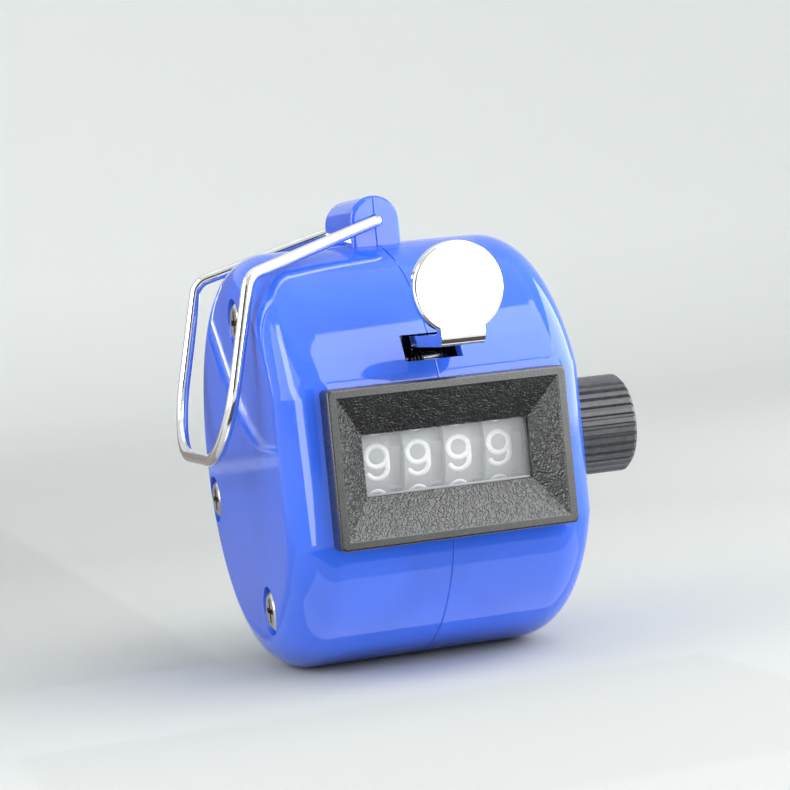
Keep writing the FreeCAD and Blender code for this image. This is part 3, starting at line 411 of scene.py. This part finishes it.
def stroke_patch(mesh, stroke, wrap):
    """One stroke as rows across its width, with round ends unless it closes on itself."""
    points = stroke_points(stroke)
    left, right = ribbon_outline(points)
    rows = [[a, a.lerp(b, 0.5), b] for a, b in zip(left, right)]
    closed = (points[0] - points[-1]).length < 0.01
    if not closed:
        for place, inner, at_start in ((points[0], points[1], True), (points[-1], points[-2], False)):
            outward = (place - inner).normalized()
            arc = round_cap(place, outward)
            caps = [[arc[3 - k], (arc[3 - k] + arc[3 + k]) / 2, arc[3 + k]] for k in (1, 2)]
            if at_start:
                rows = [row[::-1] for row in caps] + rows
            else:
                rows = rows + caps[::-1]
    add_patch(mesh, rows, wrap)


def wheel_figures(wheel_name):
    """Ten figures round a wheel's rim, with nine at the window and nought above it."""
    low, high = millimetres(wheel_name + "_wheel")
    radius = (high.z - low.z) / 2
    axis_y, axis_z = (low.y + high.y) / 2, (low.z + high.z) / 2
    across = low.x + RIM_WIDTH / 2
    mesh = bmesh.new()
    for figure, strokes in FIGURES.items():
        turned = TURN * (figure - SHOWN_FIGURE) / 10

        def wrap(point, lift):
            angle = (point.y - axis_z) / radius + turned
            reach = radius + lift
            return (across + point.x, axis_y - reach * math.cos(angle), axis_z + reach * math.sin(angle))

        for stroke in strokes:
            stroke_patch(mesh, stroke, wrap)
    return new_piece(wheel_name + "_figures", mesh, FIGURE_WHITE, wheel_name)


# ------------------------------------------------------------------ window bezel
BEZEL_RIM = 1.0
WINDOW_HALF_WIDTH = 9.45
WINDOW_HALF_HEIGHT = 3.35
BEZEL_LIP = 0.55
SEAT_DEPTH = 22.35
BEZEL_CORNER = 0.5
EDGE_ROUND = 0.25
CREASE = 0.015
GRAIN_DEPTH = 0.08
GRAIN_STEP = 0.05


def leather(across, up):
    """Height of the leather grain, 0 in its creases and 1 on its swells."""
    place = Vector((across, up, 0))
    place += noise.noise_vector(place * 1.6) * 0.22
    wide = min(1.0, abs(noise.noise(place * 2.9)) / 0.26)
    fine = min(1.0, abs(noise.noise(place * 5.2 + Vector((7, 3, 1)))) / 0.3)
    return 0.7 * wide * wide * (3 - 2 * wide) + 0.3 * fine


def rectangle_ring(mesh, half_wide, half_tall, y, corner, steps=5):
    """A ring of vertices round a rounded rectangle square to Y."""
    ring = []
    centres = [(half_wide - corner, half_tall - corner, 0), (corner - half_wide, half_tall - corner, 90),
               (corner - half_wide, corner - half_tall, 180), (half_wide - corner, corner - half_tall, 270)]
    for across, up, start in centres:
        for step in range(steps + 1):
            angle = math.radians(start + 90 * step / steps)
            ring.append(mesh.verts.new((across + corner * math.cos(angle), y, up + corner * math.sin(angle))))
    return ring


def slope(mesh, outer, inner):
    """A grained slope between two straight edges, each a pair of (x, y, z) corners."""
    outer_a, outer_b, inner_a, inner_b = map(Vector, (*outer, *inner))
    along = max(2, round((outer_b - outer_a).length / GRAIN_STEP))
    down = max(2, round((inner_a - outer_a).length / GRAIN_STEP))
    rows = []
    for step in range(down + 1):
        start = outer_a.lerp(inner_a, step / down)
        end = outer_b.lerp(inner_b, step / down)
        row = []
        for index in range(along + 1):
            place = start.lerp(end, index / along)
            fade = min(1, step / 3, (down - step) / 2)
            place.y += GRAIN_DEPTH * (1 - leather(place.x, place.z)) * fade
            row.append(mesh.verts.new(place))
        rows.append(row)
    for first, second in zip(rows, rows[1:]):
        bridge(mesh, first, second, closed=False)


def moulded_bezel():
    """The black frame: rounded rim, four grained slopes and a square-cut throat."""
    low, high = millimetres("window_bezel")
    half_wide, half_tall = (high.x - low.x) / 2, (high.z - low.z) / 2
    seat, front = SEAT_DEPTH, low.y
    mesh = bmesh.new()
    profile = [(0, -seat), (0, front + EDGE_ROUND + CREASE)]
    for step in range(5):
        angle = math.pi / 2 * step / 4
        profile.append((EDGE_ROUND * (1 - math.cos(angle)), front + EDGE_ROUND * (1 - math.sin(angle))))
    profile.append((EDGE_ROUND + CREASE, front))
    rings = [rectangle_ring(mesh, half_wide - inset, half_tall - inset, y, BEZEL_CORNER)
             for inset, y in profile]
    inner_wide, inner_tall = half_wide - BEZEL_RIM, half_tall - BEZEL_RIM
    rings.append(rectangle_ring(mesh, inner_wide + 0.06 + CREASE, inner_tall + 0.06 + CREASE, front, 0.12))
    rings.append(rectangle_ring(mesh, inner_wide + 0.06, inner_tall + 0.06, front, 0.12))
    rings.append(rectangle_ring(mesh, inner_wide, inner_tall, front + 0.05, 0.05))
    for first, second in zip(rings, rings[1:]):
        bridge(mesh, first, second)
    lip = -seat - BEZEL_LIP
    corners = [((1, 1), (-1, 1)), ((-1, 1), (-1, -1)), ((-1, -1), (1, -1)), ((1, -1), (1, 1))]
    for first, second in corners:
        outer = [(s * inner_wide, front + 0.05, t * inner_tall) for s, t in (first, second)]
        inner = [(s * WINDOW_HALF_WIDTH, lip, t * WINDOW_HALF_HEIGHT) for s, t in (first, second)]
        slope(mesh, outer, inner)
    throat = [rectangle_ring(mesh, WINDOW_HALF_WIDTH, WINDOW_HALF_HEIGHT, y, 0.001, 1) for y in (lip, -seat)]
    bridge(mesh, *throat)
    back = rectangle_ring(mesh, WINDOW_HALF_WIDTH, WINDOW_HALF_HEIGHT, -seat, 0.001, 5)
    bridge(mesh, back, rings[0])
    bmesh.ops.remove_doubles(mesh, verts=mesh.verts, dist=0.004)
    made = new_piece("moulded_bezel", mesh, LOOKS["black_bezel"], "case")
    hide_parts("window_bezel")
    return made


def rectangular_band(name, y_front, y_back, outer, inner, material):
    """A closed rectangular ring round the window, square to Y; outer and inner are half sizes."""
    mesh = bmesh.new()
    rings = [rectangle_ring(mesh, wide, tall, y, 0.001, 1)
             for (wide, tall), y in ((outer, y_back), (outer, y_front), (inner, y_front), (inner, y_back))]
    for first, second in zip(rings, rings[1:] + rings[:1]):
        bridge(mesh, first, second)
    return new_piece(name, mesh, material, "case", smooth=False)


def window_trim():
    """The black liner and gasket of the case's opening, which paint the shade in the gaps round the lens, and
    the lower edge of the lens, painted pale as a highlight.
    """
    # painted shade: black bands where the gaps round the lens fall into shade
    rectangular_band("window_liner_painted_shade", -21.34, -20.5, (9.59, 3.44), (9.46, 3.36), LOOKS["black_bezel"])
    rectangular_band("lens_gasket_painted_shade", -21.34, -21.31, (10.05, 3.95), (9.59, 3.44), LOOKS["black_bezel"])
    # painted highlight: a pale strip along the lens's lower edge
    mesh = bmesh.new()
    bmesh.ops.create_cube(mesh, size=1)
    bmesh.ops.scale(mesh, vec=(2 * WINDOW_HALF_WIDTH - 0.02, 0.1, 0.27), verts=mesh.verts)
    bmesh.ops.translate(mesh, vec=(0, -SEAT_DEPTH - 0.02, -WINDOW_HALF_HEIGHT + 0.15), verts=mesh.verts)
    bmesh.ops.bevel(mesh, geom=mesh.edges[:], offset=0.03, segments=3, profile=0.5, affect="EDGES")
    new_piece("lens_lower_edge_painted_highlight", mesh, LENS_EDGE_PAINTED_HIGHLIGHT, "case")


# ------------------------------------------------------------------ torsion springs
def coil_route(start_x, centre, radius, wire, turns, first_end, last_end):
    """Centre line of a coil along X with two straight legs; centre and ends are (y, z) in mm."""
    middle = Vector(centre)
    angles = []
    for end, sense in ((first_end, 1), (last_end, -1)):
        leg = Vector(end) - middle
        angles.append(math.atan2(leg.y, leg.x) + sense * math.acos(radius / leg.length))
    sweep = turns * TURN + (angles[1] - angles[0]) % TURN
    pitch = 2.3 * wire
    steps = round(sweep / TURN * 20)
    route = [Vector((start_x, *first_end))]
    for step in range(steps + 1):
        turned = sweep * step / steps
        angle = angles[0] + turned
        route.append(Vector((start_x + pitch * turned / TURN, middle.x + radius * math.cos(angle),
                             middle.y + radius * math.sin(angle))))
    route.append(Vector((route[-1].x, *last_end)))
    divided = []
    for first, second in zip(route, route[1:]):
        parts = max(1, round((second - first).length / 0.5))
        divided += [first.lerp(second, part / parts) for part in range(parts)]
    return divided + [route[-1]]


def wire_mesh(route, wire):
    """A round wire along a route that lies close to the YZ plane, closed at both ends."""
    mesh = bmesh.new()
    rings = []
    for index, place in enumerate(route):
        ahead, behind = route[min(index + 1, len(route) - 1)], route[max(index - 1, 0)]
        along = (ahead - behind).normalized()
        aside = along.cross(Vector((1, 0, 0))).normalized()
        across = aside.cross(along)
        rings.append([mesh.verts.new(place + wire * (aside * math.cos(TURN * k / 10)
                                                     + across * math.sin(TURN * k / 10)))
                      for k in range(10)])
    for first, second in zip(rings, rings[1:]):
        bridge(mesh, first, second)
    mesh.faces.new(rings[0])
    mesh.faces.new(rings[-1])
    return mesh


def bending_spring(node, route, wire):
    """Replaces a CAD spring by a wire along the given route, fixed in place on no body."""
    made = new_piece("bending_" + node, wire_mesh(route, wire), LOOKS["spring_steel"], None)
    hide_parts(node)
    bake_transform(made)


def springs():
    front, rear = (-18.2, 11.88), (-9.7, 10.98)
    route = coil_route(-1.5, (-15.5, 10.6), 1.13, 0.18, 4, front, rear)
    bending_spring("lever_return_spring", route, 0.18)
    barrel = (-14.8, -10.5)
    front, rear = (barrel[0] - 2.6, barrel[1] + 0.76), (barrel[0] + 3.9, barrel[1] + 1.15)
    route = coil_route(-6.05, barrel, 1.62, 0.12, 3, front, rear)
    bending_spring("pawl_spring", route, 0.12)


# ------------------------------------------------------------------ stage, lights, camera
def studio():
    """A pale bowl: flat floor under the case, curving up into a wall all round, its paper painted darker near
    the case as painted shade.
    """
    floor_z = cad_box[0].z - 0.02 * MM
    flat, bend, wall = 0.5, 0.4, 1.3
    profile = [(flat * step / 4, 0.0) for step in range(1, 5)]
    profile += [(flat + bend * math.sin(math.radians(a)), bend * (1 - math.cos(math.radians(a))))
                for a in range(10, 91, 10)]
    profile.append((flat + bend, wall))
    mesh = bmesh.new()
    rows = []
    for reach, rise in profile:
        rows.append([mesh.verts.new((reach * math.cos(TURN * k / 64), reach * math.sin(TURN * k / 64),
                                     floor_z + rise)) for k in range(64)])
    for first, second in zip(rows, rows[1:]):
        bridge(mesh, first, second)
    middle = mesh.verts.new((0, 0, floor_z))
    for index in range(64):
        mesh.faces.new((middle, rows[0][index], rows[0][(index + 1) % 64]))
    bmesh.ops.recalc_face_normals(mesh, faces=mesh.faces)
    bmesh.ops.reverse_faces(mesh, faces=mesh.faces)
    data = bpy.data.meshes.new("studio_bowl")
    mesh.to_mesh(data)
    mesh.free()
    for face in data.polygons:
        face.use_smooth = True
    paper_with_painted_shade = Look("studio_paper", (0.45, 0.465, 0.47), rough=0.9)
    # painted shade: the paper is darkest within 150 mm of the centre and pales out to 700 mm, to tone down
    # the lamps' pool of light on the floor round the case
    ramp = paper_with_painted_shade.spread(paper_with_painted_shade.reach(), 150, 700, 0, 1)
    paper_with_painted_shade.colour(ramp, 0.0, 1.0, (0.41, 0.42, 0.41), (0.82, 0.83, 0.815))
    paper_with_painted_shade.bump(paper_with_painted_shade.noise(0.4, 4.0), 0.02)
    data.materials.append(paper_with_painted_shade.material)
    bowl = bpy.data.objects.new("studio_bowl", data)
    bpy.context.scene.collection.objects.link(bowl)


def direction(azimuth, elevation):
    """Unit vector at an azimuth from -Y towards +X and an elevation, both in degrees."""
    a, e = math.radians(azimuth), math.radians(elevation)
    return Vector((math.sin(a) * math.cos(e), -math.cos(a) * math.cos(e), math.sin(e)))


def area_light(name, place, turn, wide, tall, radiance):
    """A rectangular light of even radiance, itself unseen by the camera."""
    data = bpy.data.lights.new(name, "AREA")
    data.shape = "RECTANGLE"
    data.size, data.size_y = wide, tall
    data.energy = radiance * math.pi * wide * tall
    lamp = bpy.data.objects.new(name, data)
    lamp.location = place
    lamp.rotation_mode = "QUATERNION"
    lamp.rotation_quaternion = turn
    lamp.visible_camera = False
    bpy.context.scene.collection.objects.link(lamp)


def soft_light(name, azimuth, elevation, distance, wide, tall, radiance):
    """A soft box that faces the case."""
    away = direction(azimuth, elevation)
    area_light(name, away * distance, away.to_track_quat("Z", "Y"), wide, tall, radiance)


def strip_light(name, start, end, wide, radiance):
    """A long narrow light between two places, each an azimuth, an elevation and a distance."""
    first, last = (direction(azimuth, elevation) * reach for azimuth, elevation, reach in (start, end))
    along = (last - first).normalized()
    across = along.cross((first + last) / 2).normalized()
    turn = Matrix((across, along, across.cross(along))).transposed().to_quaternion()
    area_light(name, (first + last) / 2, turn, wide, (last - first).length, radiance)


def cloth(name, shade):
    look = Look(name, (shade, shade * 0.9, shade * 0.85), rough=1.0)
    look.bump(look.noise(2.0, 2.0), 0.05)
    return look.material


BLACK_CLOTH = cloth("black_cloth", 0.03)
GREY_CLOTH = cloth("grey_cloth", 0.22)


def flag(name, azimuth, elevation, distance, wide, tall, material):
    """A dark card that only the reflections see."""
    away = direction(azimuth, elevation)
    turn = away.to_track_quat("Z", "Y").to_matrix()
    corners = [(-wide / 2, -tall / 2), (wide / 2, -tall / 2), (wide / 2, tall / 2), (-wide / 2, tall / 2)]
    card(name, [away * distance + turn @ Vector((x, y, 0)) for x, y in corners], material)


def floor_card(name, left, right, front, back, material):
    """A dark card lying on the floor, in metres."""
    floor = cad_box[0].z + 0.2 * MM
    card(name, [(x, y, floor) for x, y in ((left, front), (right, front), (right, back), (left, back))],
         material)


def card(name, corners, material):
    mesh = bmesh.new()
    mesh.faces.new([mesh.verts.new(corner) for corner in corners])
    data = bpy.data.meshes.new(name)
    mesh.to_mesh(data)
    mesh.free()
    data.materials.append(material)
    made = bpy.data.objects.new(name, data)
    made.visible_camera = False
    made.visible_diffuse = False
    made.visible_shadow = False
    bpy.context.scene.collection.objects.link(made)


def lights():
    world = bpy.data.worlds.new("studio_air")
    world.use_nodes = True
    background = world.node_tree.nodes["Background"]
    background.inputs["Color"].default_value = (0.93, 0.96, 1.0, 1)
    background.inputs["Strength"].default_value = 1.15
    bpy.context.scene.world = world
    soft_light("low_front_box", 36, 14.5, 0.33, 0.29, 0.22, 4.5)
    soft_light("high_front_box", 34, 51, 0.36, 0.3, 0.21, 3.6)
    soft_light("right_box", 90, 19, 0.36, 0.34, 0.3, 3.9)
    soft_light("left_fill", -88, 20, 0.42, 0.4, 0.32, 1.8)
    strip_light("left_strip", (-50, -9, 0.15), (-102, 46, 0.24), 0.034, 5.4)
    floor_glow = (4 * MM, -19 * MM, cad_box[0].z + 0.3 * MM)
    area_light("floor_glow", floor_glow, Matrix.Rotation(math.pi, 3, "X").to_quaternion(), 0.06, 0.013, 0.75)
    flag("front_flag", -31, 8, 0.3, 0.12, 0.15, BLACK_CLOTH)
    flag("back_flag", -165, 6, 0.35, 0.17, 0.14, GREY_CLOTH)
    floor_card("front_floor_flag", -0.05, 0.025, -0.08, -0.03, BLACK_CLOTH)
    floor_card("back_floor_flag", -0.13, -0.02, 0.01, 0.3, GREY_CLOTH)


CAMERA_YAW = 16.56
CAMERA_PITCH = 2.80
CAMERA_ROLL = 5.60
CAMERA_DISTANCE = 269.87
CAMERA_ASIDE = 0.87
CAMERA_ABOVE = 6.22
LENS = 104.8


def camera():
    """The camera looks along +Y from the left and a little above, rolled to its right."""
    yaw, pitch, roll = (math.radians(a) for a in (CAMERA_YAW, CAMERA_PITCH, CAMERA_ROLL))
    back = Vector((-math.sin(yaw) * math.cos(pitch), -math.cos(yaw) * math.cos(pitch), math.sin(pitch)))
    level = (-back).cross(Vector((0, 0, 1))).normalized()
    rise = level.cross(-back)
    right = math.cos(roll) * level - math.sin(roll) * rise
    above = math.sin(roll) * level + math.cos(roll) * rise
    place = (right * CAMERA_ASIDE + above * CAMERA_ABOVE + back * CAMERA_DISTANCE) * MM
    data = bpy.data.cameras.new("photo_camera")
    data.lens = LENS
    data.sensor_width = 36
    data.clip_start, data.clip_end = 0.01, 10
    made = bpy.data.objects.new("photo_camera", data)
    turn = Matrix((right, above, back)).transposed().to_4x4()
    made.matrix_world = Matrix.Translation(place) @ turn
    bpy.context.scene.collection.objects.link(made)
    bpy.context.scene.camera = made


camera()
dress_cad_nodes()
for wheel_name in ("units", "tens", "hundreds", "thousands"):
    wheel_figures(wheel_name)
moulded_bezel()
window_trim()
springs()
studio()
lights()
bpy.context.scene.view_settings.view_transform = "Standard"
